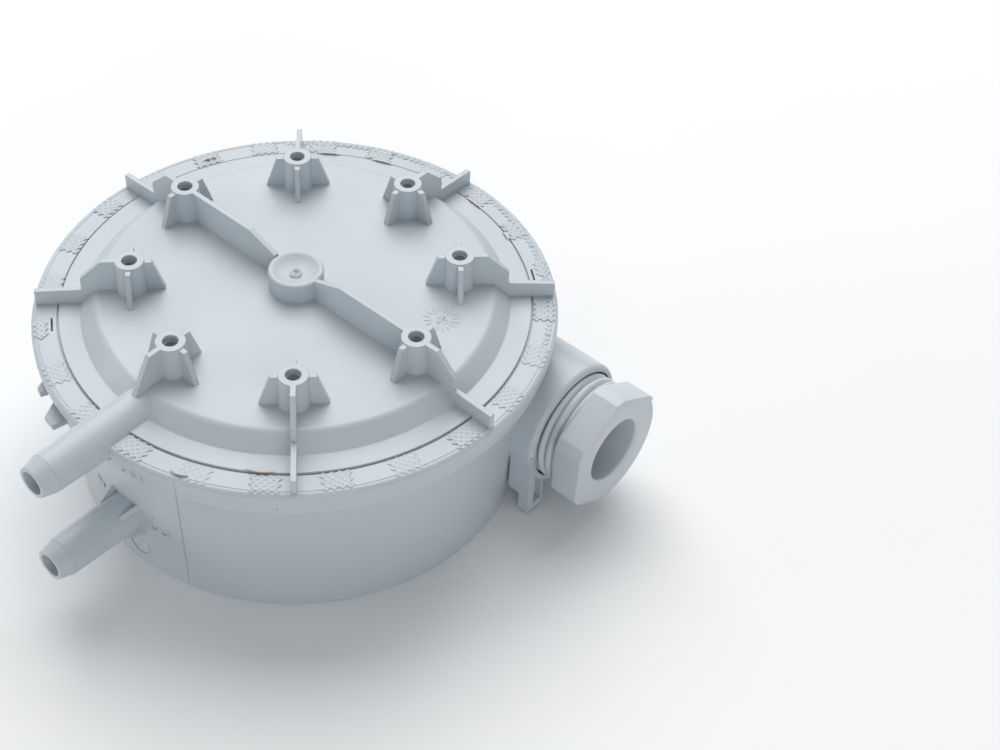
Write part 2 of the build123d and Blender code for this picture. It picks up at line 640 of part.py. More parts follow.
def gland_screw():
    """Pressure screw: a threaded shank and a hexagonal head with cut corners and rounded edges."""
    thread_x = seal_x + SEAT_RING_T + SCREW_FREE + WASHER_T
    outline = RegularPolygon(HEX_AF / math.sqrt(3), 6, rotation=HEX_TURN) & Circle(HEX_CORNER_R)
    head = extrude(outline, HEX_T) - peg(CABLE_R, -1, HEX_T + 1)
    front = head.faces().sort_by(Axis.Z)[-1]
    head = fillet(front.outer_wire().edges(), HEX_ROUND)
    bore_edge = ring_edges(head, CABLE_R, HEX_T)
    head = Pos(hex_x, GLAND_Y, GLAND_Z) * Rot(0, 90, 0) * fillet(bore_edge, BORE_ROUND)
    shank = rod_x(THREAD_R - THREAD_GAP, thread_x, hex_x, GLAND_Y, GLAND_Z)
    return head + (shank - rod_x(CABLE_R, thread_x - 1, hex_x + 1, GLAND_Y, GLAND_Z))


def gland_ring(start, length, outer):
    """Plain ring in the gland's bore."""
    ring = rod_x(outer, start, start + length, GLAND_Y, GLAND_Z)
    return ring - rod_x(CABLE_R, start - 1, start + length + 1, GLAND_Y, GLAND_Z)


nodes = {
    "back_cover": back_cover(),
    "housing": housing(),
    "front_cover": front_cover(),
    "cover_seal": cover_seal(),
    "diaphragm": diaphragm(),
    "diaphragm_plate": diaphragm_plate(),
    "plunger": plunger(),
    "range_spring": range_spring(),
    "spring_seat": spring_seat(),
    "setting_dial": setting_dial(),
    "switch_holder": switch_holder(),
    "switch_case": switch_case(),
    "switch_button": switch_button(),
    "gland_screw": gland_screw(),
}
nodes["gland_seal"] = gland_ring(seal_x, SEAT_RING_T, THREAD_R - SEAL_GAP)
nodes["gland_washer"] = gland_ring(seal_x + SEAT_RING_T + SCREW_FREE, WASHER_T, THREAD_R - WASHER_GAP)
for number, angle in enumerate(LID_SCREW_ANGLES, start=1):
    x, y = on_circle(lid_screw_r, angle)
    nodes[f"cover_screw_{number}"] = Pos(x, y, HEAD_SINK + HEAD_H) * pan_screw(SHANK_L)
for number, side in enumerate((-1, 1), start=1):
    nodes[f"holder_screw_{number}"] = Pos(side * HOLDER_POST_X, 0, holder_z) * pan_screw(SHANK_L)
    place = Pos(side * SWITCH_SCREW_SPACING / 2, terminal_y, switch_screw_z)
    nodes[f"switch_screw_{number}"] = place * Rot(90, 0, 0) * pan_screw(SHANK_L, SMALL_HEAD_R, SMALL_HEAD_H)
for index, name in enumerate(("com", "no", "nc")):
    nodes[f"terminal_{name}"] = terminal(index)
    x = (index - 1) * terminal_pitch
    place = Pos(x, terminal_y + TERMINAL_L - HEAD_R, terminal_z)
    nodes[f"terminal_screw_{name}"] = place * pan_screw(SHANK_L / 2, SMALL_HEAD_R, SMALL_HEAD_H)

for name, solid in nodes.items():
    export_step(solid, f"parts/{name}.step")
print(f"{len(nodes)} nodes, height {top_z:.1f}, rim diameter {2 * rim_r:.1f}")
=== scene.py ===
import json
import math

import bpy
from mathutils import Matrix, Vector


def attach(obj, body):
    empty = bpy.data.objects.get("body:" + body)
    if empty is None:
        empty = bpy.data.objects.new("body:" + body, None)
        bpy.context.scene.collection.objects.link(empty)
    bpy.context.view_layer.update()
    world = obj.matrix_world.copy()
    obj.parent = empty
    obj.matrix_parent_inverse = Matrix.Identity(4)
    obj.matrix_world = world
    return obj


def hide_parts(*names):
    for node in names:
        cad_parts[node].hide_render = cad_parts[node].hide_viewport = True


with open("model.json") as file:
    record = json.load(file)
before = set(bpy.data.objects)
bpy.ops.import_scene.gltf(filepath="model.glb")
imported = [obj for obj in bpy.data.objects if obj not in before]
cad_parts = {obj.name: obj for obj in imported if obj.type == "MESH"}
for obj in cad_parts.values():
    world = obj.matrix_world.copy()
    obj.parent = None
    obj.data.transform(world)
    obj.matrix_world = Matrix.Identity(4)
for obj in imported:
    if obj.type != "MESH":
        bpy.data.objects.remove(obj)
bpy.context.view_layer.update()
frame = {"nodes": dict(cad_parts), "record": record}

bl_info = {
    "name": "Air pressure switch dressing",
    "version": (1, 0, 0),
    "blender": (4, 5, 0),
    "location": "View3D > Sidebar > Pressure switch",
    "description": "Builds the visible finish of a round air pressure switch round its frame",
    "category": "Mesh",
}

MM = 0.001
CASE_BODY = "case"
SCREW_BODY = "gland_screw"
# Points nearer than this are merged
WELD = 1e-6
# How far fine relief is sunk into the wall or plateau that carries it
RELIEF_SINK = 0.02 * MM

# Heights are above the base plane, radii from the drum's axis, and angles in degrees from +X.

# Cover
BAND_Z = 31.3 * MM
SHOULDER_Z = 31.5 * MM
PLATEAU_Z = 34.2 * MM
TOP_Z = 40.0 * MM
BOSS_COUNT = 8
BOSS_CIRCLE_R = 26.3 * MM

# Ledges in the pilot holes, each outline point in mm from the hole's wall and the ledge's depth
HOLE_R = 1.25 * MM
LEDGE_DEPTHS = (0.95 * MM, 1.85 * MM)
LEDGE_OUTLINE = ((0.15, -0.35), (-0.2, -0.2), (-0.2, -0.05), (0.15, 0.1))
LEDGE_LEAN = math.radians(7)

# Gland, made about Z and then laid onto its own axis along X
GLAND_Y = 22.8 * MM
GLAND_Z = 13.9 * MM
SHANK_X = 36.0 * MM
HEAD_X = 44.9 * MM
HEAD_END_X = 49.8 * MM
HEAD_FLATS = 19.6 * MM
HEAD_CORNER_R = 10.8 * MM
HEAD_TURN = math.radians(-1)
HEAD_BEVEL = 0.6 * MM
ROUND_STEPS = 144
# The head's one round side, its cut's distance from the axis and its lap with the hexagon
HEAD_ROUND_R = 10.3 * MM
HEAD_ROUND_TURN = math.radians(59)
HEAD_ROUND_CUT = 5.55 * MM
HEAD_ROUND_LAP = 0.3 * MM
# The thread's ridge as shares of its pitch and depth
THREAD_R = 9.62 * MM
THREAD_RIDGE = (
    (0.0, 0.0), (0.10, 0.40), (0.22, 0.74), (0.36, 0.94), (0.5, 1.0),
    (0.64, 0.94), (0.78, 0.74), (0.90, 0.40), (1.0, 0.0),
)
THREAD_TURNS = 8
THREAD_STEPS = 96
THREAD_LEAD_IN = 2.15 * MM
THREAD_LAP = 0.4 * MM
# The bore's rounded mouth in mm from its wall and from the head's end
CABLE_R = 5.7 * MM
MOUTH_OUTLINE = ((0.0, -0.5), (0.08, -0.25), (0.25, -0.08), (0.5, 0.0), (0.5, 1.0))

# Checkered relief on the rim band; two pads are narrower, where the slits are
PAD_R = 40.3 * MM
PAD_RADIAL = 2.7 * MM
PAD_FIRST = 9.0
PAD_DROP = 0.045 * MM
PAD_SHIFT = 0.12 * MM
SLIT_PADS = (54.0, 234.0)
SLIT_PAD_R = 41.05 * MM
SLIT_PAD_RADIAL = 1.3 * MM
STRIP_R = 41.2 * MM
STRIP_LENGTH = 5.6 * MM
STRIP_RADIAL = 1.0 * MM
STRIP_DROP = 0.025 * MM
STRIP_ANGLES = tuple(28.0 + 7.6 * step for step in range(15))
# Strips against pads: cell, rise and sink as shares
STRIP_CELL = 0.85
STRIP_RISE = 0.7
STRIP_SINK = 0.8
# The net's flat ridge and sloping flank as shares of a cell, and the depth of its foot
RIDGE_SHARE = 0.12
FLANK_SHARE = 0.17
NET_FOOT = 0.35 * MM
# A pad's longest side against half the side of the grid that it is cut from
GRID_SHARE = 1.2

# Slivers of flash as (angle, radius, length) in mm, and their outline as (mm, share of the length)
FLASH = (
    (82.3, 38.15, 4.9), (112.4, 38.05, 4.4), (127.1, 38.0, 4.5), (307.4, 37.9, 4.6),
    (67.3, 37.95, 2.4), (290.9, 41.2, 3.0), (158.5, 39.9, 2.6),
)
SLIVER_OUTLINE = (
    (0.0, -0.5), (0.28, -0.28), (0.5, 0.02), (0.36, 0.3), (0.05, 0.5), (-0.12, 0.2), (-0.1, -0.25),
)
SLIVER_THICKNESS = 0.16 * MM
SLIVER_SINK = 0.1 * MM
# The middle of a sliver, up to this share of its length each way, is moved by the curl
CURL_REACH = 0.35
SLIVER_CURL = (0.1 * MM, 0, 0.28 * MM)

# Date dial; the strokes and the ticks' ends, as (middle, spread), are shares of its radius
DIAL_PLACE = (22.4 * MM, 10.1 * MM)
DIAL_TURN = 40.5
DIAL_TICKS = 16
DIAL_TICK_TURN = 8
TICK_INNER = (0.52, 0.06)
TICK_OUTER = (0.92, 0.08)
DIAL_RISE = 0.09 * MM
DIAL_BEVEL = 0.05 * MM
DIAL_TICK_WIDTH = 0.34 * MM
DIAL_STROKE_WIDTH = 0.36 * MM
DIAL_STROKES = (
    ((-0.21, 0.14), (-0.14, -0.34)), ((-0.14, -0.34), (0.18, 0.20)),
    ((-0.07, 0.20), (-0.10, 0.02)), ((0.24, 0.20), (0.07, -0.09)),
    ((0.07, -0.09), (0.31, -0.03)), ((0.40, -0.14), (0.10, -0.34)),
)

# Drum wall, which widens by 1 over WALL_SLOPE of height, and the skirt above it
WALL_FOOT_R = 38.0 * MM
WALL_SLOPE = 26.3
SKIRT_FROM = 26.3
SKIRT_R = 41.9 * MM

# Mould marks as (angle, height, strokes), in mm
MARK_RISE = 0.16 * MM
MARK_WIDTH = 0.26 * MM
MARK_BEVEL = 0.04 * MM
RING_ANGLE = 272.5
RING_HEIGHT = 4.2 * MM
RING_IN_R = 2.05 * MM
RING_OUT_R = 2.3 * MM
RING_SINK = 0.06 * MM
WALL_MARKS = (
    (272.5, 4.2, (((-0.7, -1.2), (0.7, 1.2)), ((-0.9, 0.6), (0.1, 1.5)))),
    (279.0, 11.6, (((-0.6, 0.7), (-0.6, -0.4)), ((-0.6, -0.4), (-0.1, -0.8)),
                   ((-0.1, -0.8), (0.5, -0.4)), ((0.5, -0.4), (0.6, 0.3)))),
    (281.9, 11.5, (((-0.6, 0.7), (-0.6, -0.4)), ((-0.6, -0.4), (0.0, -0.8)),
                   ((0.0, -0.8), (0.5, -0.3)), ((0.9, 0.8), (0.9, -0.9)))),
    (279.2, 13.6, (((-0.5, -0.2), (0.2, 0.3)),)),
    (277.3, 27.7, (((-0.3, 0.8), (-0.3, -0.6)), ((-0.3, -0.6), (0.3, -0.4)))),
    (279.8, 27.5, (((0.1, 0.7), (-0.5, -0.2)), ((-0.5, -0.2), (0.5, -0.2)),
                   ((0.2, 0.3), (0.2, -0.7)))),
    (260.2, 12.9, (((-0.9, 0.9), (-0.5, -0.4)), ((-0.3, 0.6), (0.0, -0.5)),
                   ((0.6, -0.2), (0.8, -1.0)))),
    (311.5, 27.6, (((-0.2, 0.0), (0.2, 0.0)),)),
)

# Seams as (angle, low, high, radius in mm or None on the drum wall, share of the wall's lean)
WALL_SEAMS = (
    (287.1, 1.0, 26.0, None, 1), (290.2, 26.5, 28.9, 41.9, 0), (282.0, 26.5, 28.9, 41.9, 0),
    (290.6, 29.6, 30.5, 42.6, 0),
)
SEAM_HALF = 0.06 * MM
LIP_LINE = ((41.55, -0.05), (41.72, -0.05), (41.72, 0.05), (41.6, 0.05))

# Nozzle roots as (axis height, start), and the sleeve that thins from ROOT_R to ROOT_END_R
NOZZLE_ROOTS = ((30.45 * MM, 32.5 * MM), (11.3 * MM, 37.0 * MM))
ROOT_IN_R = 3.2 * MM
ROOT_R = 3.458 * MM
ROOT_FULL = 43.4 * MM
ROOT_END_R = 3.262 * MM
ROOT_END = 51.5 * MM

# Hub: the bowl's (radius, height) outline in mm, and the torn gate as (place, radius, flatness)
HUB_PROFILE = (
    (0, 36.3), (0, 36.66), (0.8, 36.68), (1.5, 36.79), (2.2, 36.98), (2.8, 37.21), (3.2, 37.40),
    (3.5, 37.56), (3.75, 37.69), (3.95, 37.76), (4.12, 37.76), (4.3, 37.69), (4.43, 37.57),
    (4.51, 37.4), (4.53, 37.2), (4.45, 37.0), (4.2, 36.9),
)
GATE_LUMPS = (
    ((0.15 * MM, -0.2 * MM, 36.8 * MM), 1.05 * MM, 0.26),
    ((-0.2 * MM, 0.3 * MM, 37.0 * MM), 0.5 * MM, 0.8),
)
TEAR_GRAIN = 0.4 * MM
TEAR_DEPTH = 0.3 * MM

# Camera, lamps as (name, place, size, power), and surroundings
FOCAL_MM = 62.12
SENSOR_MM = 36.0
SHIFT_X = 0.0481
SHIFT_Y = -0.0633
CAMERA_PLACE = (153.43 * MM, -140.88 * MM, 221.95 * MM)
CAMERA_AZIMUTH = 40.47
CAMERA_ELEVATION = 42.94
CAMERA_ROLL = 2.14
CLIP_START = 0.01
LAMPS = (
    ("Back light", (-0.56, 0.60, 1.13), 1.4, 20.4),
    ("Left light", (-0.65, -0.60, 0.20), 0.4, 1.4),
    ("Right light", (0.70, -0.50, 0.20), 0.4, 1.6),
)
LAMP_AIM = (0, 0, 0.02)
WORLD_TINT = (0.93, 0.97, 1.0)
WORLD_STRENGTH = 0.335
FLOOR_SIZE = 6
FLOOR_BOUNCE = (0.80, 0.82, 0.84)

# Moulded plastic: scales and limits of its patterns, depth of its grain, softness and gloss
DRIFT_SCALE = 38.0
DRIFT_LIMITS = (0.40, 0.75)
SPECK_SCALE = 420.0
SPECK_LIMITS = (0.02, 0.05)
SPECK_COLOUR = (0.16, 0.15, 0.14)
PATCH_SCALE = 90.0
PATCH_LIMIT = 0.60
GRAIN_SCALE = 1500.0
GRAIN_DEPTH = 0.0002
WAVE_SCALE = 60.0
WAVE_SHARE = 1.5
SOFT_EDGE = 0.22 * MM
GLOSS_SPREAD = (-0.06, 0.10)
SPECULAR = 0.42
RUBBER_SPECULAR = 0.25

# Colours and shades of the torn gate and of the pieces inside
SCAR_GREYS = ((0.50, 0.53, 0.54), (0.33, 0.34, 0.34))
WHITES = ((0.78, 0.78, 0.75), (0.72, 0.72, 0.70))
BLACKS = ((0.03, 0.03, 0.032), (0.02, 0.02, 0.02))
RUBBER_BLACK = (0.035, 0.035, 0.035)
BRASS = (0.72, 0.53, 0.24)
ZINC = (0.62, 0.62, 0.60)

# Materials by the record's slots, and three that only the scene's own pieces have
MATERIALS = {
    "grey_plastic": "Body plastic",
    "relief": "Relief plastic",
    "gland_plastic": "Gland plastic",
    "flash": "Flash plastic",
    "scar": "Scar plastic",
    "white_plastic": "White plastic",
    "black_plastic": "Black plastic",
    "rubber": "Black rubber",
    "brass": "Brass",
    "steel": "Zinc steel",
}


# Sizes and colours that a user would change

class SwitchSizes(bpy.types.PropertyGroup):
    """Sizes of the pieces that the finish adds to the frame."""

    pad_width: bpy.props.FloatProperty(
        name="Pad width", description="Width of a checkered pad on the rim band",
        default=4.2 * MM, subtype="DISTANCE", unit="LENGTH")
    pad_cell: bpy.props.FloatProperty(
        name="Pad cell", description="Side of one square in a checkered pad",
        default=0.86 * MM, subtype="DISTANCE", unit="LENGTH")
    pad_rise: bpy.props.FloatProperty(
        name="Pad rise", description="Height of the checkered pads' ridges",
        default=0.19 * MM, subtype="DISTANCE", unit="LENGTH")
    pad_count: bpy.props.IntProperty(
        name="Pads", description="Number of places for pads round the rim band", default=24, min=4)
    thread_pitch: bpy.props.FloatProperty(
        name="Thread pitch", description="Pitch of the gland's thread",
        default=1.5 * MM, subtype="DISTANCE", unit="LENGTH")
    thread_depth: bpy.props.FloatProperty(
        name="Thread depth", description="Depth of the gland's thread",
        default=0.75 * MM, subtype="DISTANCE", unit="LENGTH")
    dial_radius: bpy.props.FloatProperty(
        name="Date dial radius", description="Radius of the moulder's date dial",
        default=3.2 * MM, subtype="DISTANCE", unit="LENGTH")


class SwitchColours(bpy.types.PropertyGroup):
    """Colours of the finishes."""

    body_grey: bpy.props.FloatVectorProperty(
        name="Body grey", description="Colour of the moulded drum and cover",
        subtype="COLOR", size=3, min=0.0, max=1.0, default=(0.535, 0.585, 0.625))
    body_shade: bpy.props.FloatVectorProperty(
        name="Body shade", description="Darker colour that drifts through the moulded grey",
        subtype="COLOR", size=3, min=0.0, max=1.0, default=(0.51, 0.56, 0.60))
    gland_grey: bpy.props.FloatVectorProperty(
        name="Gland grey", description="Colour of the gland's pressure screw",
        subtype="COLOR", size=3, min=0.0, max=1.0, default=(0.575, 0.62, 0.655))
    flash_beige: bpy.props.FloatVectorProperty(
        name="Flash beige", description="Colour of the thin flash along the rim band",
        subtype="COLOR", size=3, min=0.0, max=1.0, default=(0.56, 0.50, 0.40))
    floor_white: bpy.props.FloatVectorProperty(
        name="Floor white", description="Colour of the studio floor",
        subtype="COLOR", size=3, min=0.0, max=1.0, default=(0.93, 0.93, 0.93))


# Small tools of the workshop

def clear_selection():
    """Leave edit mode and deselect everything."""
    if bpy.context.object and bpy.context.object.mode != "OBJECT":
        bpy.ops.object.mode_set(mode="OBJECT")
    bpy.ops.object.select_all(action="DESELECT")


def pick(obj):
    """Make one object the only selected and active one."""
    clear_selection()
    obj.select_set(True)
    bpy.context.view_layer.objects.active = obj


def settle(obj, name):
    """Name a finished piece and move its place into its mesh."""
    pick(obj)
    bpy.ops.object.transform_apply(location=True, rotation=True, scale=True)
    obj.name = name
    obj.data.name = name


def drawn_chain(points):
    """Edge chain through (x, y, z) points, drawn by extruding one vertex."""
    clear_selection()
    bpy.ops.mesh.primitive_plane_add(size=1, location=(0, 0, 0))
    obj = bpy.context.object
    bpy.ops.object.mode_set(mode="EDIT")
    bpy.ops.mesh.select_mode(type="VERT")
    bpy.ops.mesh.select_all(action="SELECT")
    bpy.ops.mesh.merge(type="CENTER")
    bpy.ops.transform.translate(value=points[0])
    for start, end in zip(points, points[1:]):
        step = [b - a for a, b in zip(start, end)]
        bpy.ops.mesh.extrude_vertices_move(TRANSFORM_OT_translate={"value": step})
    return obj


def turned(points, name, steps):
    """Piece of revolution about Z from a closed outline of (radius, height) points."""
    obj = drawn_chain([(radius, 0.0, height) for radius, height in points])
    bpy.ops.mesh.select_all(action="SELECT")
    bpy.ops.mesh.edge_face_add()
    bpy.ops.mesh.delete(type="ONLY_FACE")
    bpy.ops.mesh.select_all(action="SELECT")
    bpy.ops.mesh.spin(steps=steps, angle=2 * math.pi, center=(0, 0, 0), axis=(0, 0, 1))
    bpy.ops.mesh.select_all(action="SELECT")
    bpy.ops.mesh.remove_doubles(threshold=WELD)
    bpy.ops.mesh.normals_make_consistent(inside=False)
    bpy.ops.object.mode_set(mode="OBJECT")
    obj.name = name
    obj.data.name = name
    return obj


def rounded(obj, width, segments, sharper_than):
    """Round a piece's edges where its faces meet at more than some degrees."""
    pick(obj)
    rounding = obj.modifiers.new("Edge rounding", "BEVEL")
    rounding.width = width
    rounding.segments = segments
    rounding.limit_method = "ANGLE"
    rounding.angle_limit = math.radians(sharper_than)
    bpy.ops.object.modifier_apply(modifier=rounding.name)


def finish_piece(obj, name, look, smooth_deg, bevel=0.0, body=CASE_BODY):
    """Bevel, shade and settle a piece, then give it its finish and the body that it rides on."""
    if bevel:
        rounded(obj, bevel, segments=2, sharper_than=30)
    pick(obj)
    bpy.ops.object.shade_smooth_by_angle(angle=math.radians(smooth_deg))
    settle(obj, name)
    obj.data.materials.clear()
    obj.data.materials.append(finishes()[look])
    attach(obj, body)


def copied(source, matrix):
    """Copy of a piece with its own mesh, moved by a matrix."""
    twin = source.copy()
    twin.data = source.data.copy()
    twin.data.transform(matrix)
    bpy.context.collection.objects.link(twin)
    return twin


def removed(objects):
    """Remove pieces that were only needed on the way."""
    clear_selection()
    for obj in objects:
        obj.select_set(True)
    bpy.ops.object.delete()


def joined(objects):
    """One object out of several."""
    clear_selection()
    for obj in objects:
        obj.select_set(True)
    bpy.context.view_layer.objects.active = objects[0]
    bpy.ops.object.join()
    return bpy.context.object


def chosen(obj, kind, test):
    """Select the faces or vertices of a piece that pass a test, and stay in edit mode."""
    pick(obj)
    bpy.ops.object.mode_set(mode="EDIT")
    bpy.ops.mesh.select_mode(type=kind)
    bpy.ops.mesh.select_all(action="DESELECT")
    bpy.ops.object.mode_set(mode="OBJECT")
    for item in obj.data.polygons if kind == "FACE" else obj.data.vertices:
        item.select = test(item)
    bpy.ops.object.mode_set(mode="EDIT")


def turned_onto_gland(obj):
    """Lay a piece that was made about Z onto the gland's axis, its heights becoming X."""
    pick(obj)
    obj.rotation_euler = (0, math.radians(90), 0)
    obj.location = (0, GLAND_Y, GLAND_Z)
    bpy.ops.object.transform_apply(location=True, rotation=True, scale=True)


def carved(obj, tool, operation):
    """Join, cut or intersect a piece with a tool, and remove the tool."""
    pick(obj)
    cut = obj.modifiers.new("Carve", "BOOLEAN")
    cut.operation = operation
    cut.solver = "EXACT"
    cut.object = tool
    bpy.ops.object.modifier_apply(modifier=cut.name)
    removed([tool])
    pick(obj)
    return obj


def cut_level(height, keep_above):
    """Cut the piece in edit mode at one height and close the cut."""
    bpy.ops.mesh.select_all(action="SELECT")
    bpy.ops.mesh.bisect(plane_co=(0, 0, height), plane_no=(0, 0, 1), use_fill=True,
                        clear_inner=keep_above, clear_outer=not keep_above)


def plate_of(points, height, name):
    """Flat plate from (x, y) outline points, extruded upwards from Z = 0."""
    obj = drawn_chain([(x, y, 0.0) for x, y in points])
    bpy.ops.mesh.select_all(action="SELECT")
    bpy.ops.mesh.edge_face_add()
    bpy.ops.mesh.extrude_region_move(TRANSFORM_OT_translate={"value": (0, 0, height)})
    bpy.ops.mesh.select_all(action="SELECT")
    bpy.ops.mesh.normals_make_consistent(inside=False)
    bpy.ops.object.mode_set(mode="OBJECT")
    obj.name = name
    return obj


def stroke(start, end, width, height):
    """Raised stroke with pointed ends between two (x, y) places, standing on Z = 0."""
    run = Vector(end) - Vector(start)
    along = run.normalized() * width * 0.5
    aside = Vector((-along.y, along.x))
    a = Vector(start)
    b = Vector(end)
    outline = [a, a + along + aside, b - along + aside, b, b - along - aside, a + along - aside]
    return plate_of([(point.x, point.y) for point in outline], height, "stroke")


def uneven(index, step):
    """Value from -1 to 1 that differs from one copy to the next."""
    return math.sin(index * step)


def on_band(angle, radius, height):
    """Place on the cover: turned by an angle, moved out to a radius and up to a height."""
    turn = Matrix.Rotation(math.radians(angle), 4, "Z")
    return turn @ Matrix.Translation((radius, 0, height))


def on_wall(angle, height, sink, radius=None):
    """Place on the drum's wall whose own Z points outwards and whose Y points up."""
    radius = radius or WALL_FOOT_R + height / WALL_SLOPE
    turn = Matrix.Rotation(math.radians(angle), 4, "Z")
    upright = Matrix.Rotation(math.radians(90), 4, "Y") @ Matrix.Rotation(math.radians(90), 4, "Z")
    return turn @ Matrix.Translation((radius - sink, 0, height)) @ upright


def waffle(length, width, cell, rise, sink):
    """Net of ridges round sunk squares, set cornerwise, on a low block around the origin."""
    count = 2 * math.ceil(max(length, width) / cell / GRID_SHARE)
    clear_selection()
    bpy.ops.mesh.primitive_grid_add(x_subdivisions=count, y_subdivisions=count, size=count * cell,
                                    rotation=(0, 0, math.radians(45)))
    obj = bpy.context.object
    bpy.ops.object.transform_apply(location=True, rotation=True, scale=True)
    chosen(obj, "FACE", lambda face: (abs(face.center.x) > width / 2
                                      or abs(face.center.y) > length / 2))
    bpy.ops.mesh.delete(type="FACE")
    bpy.ops.object.mode_set(mode="OBJECT")
    block = obj.modifiers.new("Block", "SOLIDIFY")
    block.thickness = rise + NET_FOOT
    block.offset = -1.0
    bpy.ops.object.modifier_apply(modifier=block.name)
    chosen(obj, "FACE", lambda face: face.normal.z > 0.9)
    bpy.ops.mesh.inset(thickness=cell * RIDGE_SHARE, use_individual=True)
    bpy.ops.mesh.inset(thickness=cell * FLANK_SHARE, depth=-sink, use_individual=True)
    bpy.ops.object.mode_set(mode="OBJECT")
    return obj


# Finishes

def moulded_plastic(name, main, shade, speck=0.35, grain=0.06, roughness=0.34, edge=0.0):
    """Moulded plastic with drifting tone, fine grain, soft edges and a few dark specks."""
    material = bpy.data.materials.new(name)
    material.use_nodes = True
    nodes = material.node_tree.nodes
    links = material.node_tree.links
    shader = nodes["Principled BSDF"]
    place = nodes.new("ShaderNodeTexCoord")

    drift = nodes.new("ShaderNodeTexNoise")
    drift.inputs["Scale"].default_value = DRIFT_SCALE
    drift.inputs["Detail"].default_value = 4.0
    tone = nodes.new("ShaderNodeMix")
    tone.data_type = "RGBA"
    tone.inputs[6].default_value = (*main, 1)
    tone.inputs[7].default_value = (*shade, 1)
    links.new(place.outputs["Object"], drift.inputs["Vector"])
    spread = nodes.new("ShaderNodeMapRange")
    spread.inputs["From Min"].default_value = DRIFT_LIMITS[0]
    spread.inputs["From Max"].default_value = DRIFT_LIMITS[1]
    links.new(drift.outputs["Fac"], spread.inputs["Value"])
    links.new(spread.outputs["Result"], tone.inputs["Factor"])

    specks = nodes.new("ShaderNodeTexVoronoi")
    specks.inputs["Scale"].default_value = SPECK_SCALE
    links.new(place.outputs["Object"], specks.inputs["Vector"])
    dots = nodes.new("ShaderNodeMapRange")
    dots.inputs["From Min"].default_value = SPECK_LIMITS[0]
    dots.inputs["From Max"].default_value = SPECK_LIMITS[1]
    dots.inputs["To Min"].default_value = speck
    dots.inputs["To Max"].default_value = 0.0
    links.new(specks.outputs["Distance"], dots.inputs["Value"])
    rare = nodes.new("ShaderNodeTexNoise")
    rare.inputs["Scale"].default_value = PATCH_SCALE
    links.new(place.outputs["Object"], rare.inputs["Vector"])
    gate = nodes.new("ShaderNodeMath")
    gate.operation = "GREATER_THAN"
    gate.inputs[1].default_value = PATCH_LIMIT
    links.new(rare.outputs["Fac"], gate.inputs[0])
    amount = nodes.new("ShaderNodeMath")
    amount.operation = "MULTIPLY"
    links.new(dots.outputs["Result"], amount.inputs[0])
    links.new(gate.outputs["Value"], amount.inputs[1])
    dirt = nodes.new("ShaderNodeMix")
    dirt.data_type = "RGBA"
    dirt.inputs[7].default_value = (*SPECK_COLOUR, 1)
    links.new(tone.outputs[2], dirt.inputs[6])
    links.new(amount.outputs["Value"], dirt.inputs["Factor"])
    links.new(dirt.outputs[2], shader.inputs["Base Color"])

    fine = nodes.new("ShaderNodeTexNoise")
    fine.inputs["Scale"].default_value = GRAIN_SCALE
    fine.inputs["Detail"].default_value = 3.0
    links.new(place.outputs["Object"], fine.inputs["Vector"])
    wave = nodes.new("ShaderNodeTexNoise")
    wave.inputs["Scale"].default_value = WAVE_SCALE
    links.new(place.outputs["Object"], wave.inputs["Vector"])
    blend = nodes.new("ShaderNodeMath")
    blend.operation = "MULTIPLY_ADD"
    blend.inputs[1].default_value = WAVE_SHARE
    links.new(wave.outputs["Fac"], blend.inputs[0])
    links.new(fine.outputs["Fac"], blend.inputs[2])
    bump = nodes.new("ShaderNodeBump")
    bump.inputs["Strength"].default_value = grain
    bump.inputs["Distance"].default_value = GRAIN_DEPTH
    links.new(blend.outputs["Value"], bump.inputs["Height"])
    if edge:
        soft = nodes.new("ShaderNodeBevel")
        soft.samples = 8
        soft.inputs["Radius"].default_value = edge
        links.new(soft.outputs["Normal"], bump.inputs["Normal"])
    links.new(bump.outputs["Normal"], shader.inputs["Normal"])

    gloss = nodes.new("ShaderNodeMapRange")
    gloss.inputs["To Min"].default_value = roughness + GLOSS_SPREAD[0]
    gloss.inputs["To Max"].default_value = roughness + GLOSS_SPREAD[1]
    links.new(wave.outputs["Fac"], gloss.inputs["Value"])
    links.new(gloss.outputs["Result"], shader.inputs["Roughness"])
    shader.inputs["Specular IOR Level"].default_value = SPECULAR
    return material


def metal_finish(name, colour, roughness):
    """Turned metal with fine streaks."""
    material = bpy.data.materials.new(name)
    material.use_nodes = True
    nodes = material.node_tree.nodes
    links = material.node_tree.links
    shader = nodes["Principled BSDF"]
    shader.inputs["Metallic"].default_value = 1.0
    place = nodes.new("ShaderNodeTexCoord")
    streak = nodes.new("ShaderNodeTexNoise")
    streak.inputs["Scale"].default_value = 600.0
    links.new(place.outputs["Object"], streak.inputs["Vector"])
    tone = nodes.new("ShaderNodeMix")
    tone.data_type = "RGBA"
    tone.inputs[6].default_value = (*colour, 1)
    tone.inputs[7].default_value = (*[c * 0.8 for c in colour], 1)
    links.new(streak.outputs["Fac"], tone.inputs["Factor"])
    links.new(tone.outputs[2], shader.inputs["Base Color"])
    gloss = nodes.new("ShaderNodeMapRange")
    gloss.inputs["To Min"].default_value = roughness
    gloss.inputs["To Max"].default_value = roughness + 0.15
    links.new(streak.outputs["Fac"], gloss.inputs["Value"])
    links.new(gloss.outputs["Result"], shader.inputs["Roughness"])
    return material


def rubber_finish(name, colour):
    """Soft black rubber with a fine grain."""
    material = moulded_plastic(name, colour, [c * 0.7 for c in colour],
                               speck=0.0, grain=0.15, roughness=0.7)
    shader = material.node_tree.nodes["Principled BSDF"]
    shader.inputs["Specular IOR Level"].default_value = RUBBER_SPECULAR
    return material


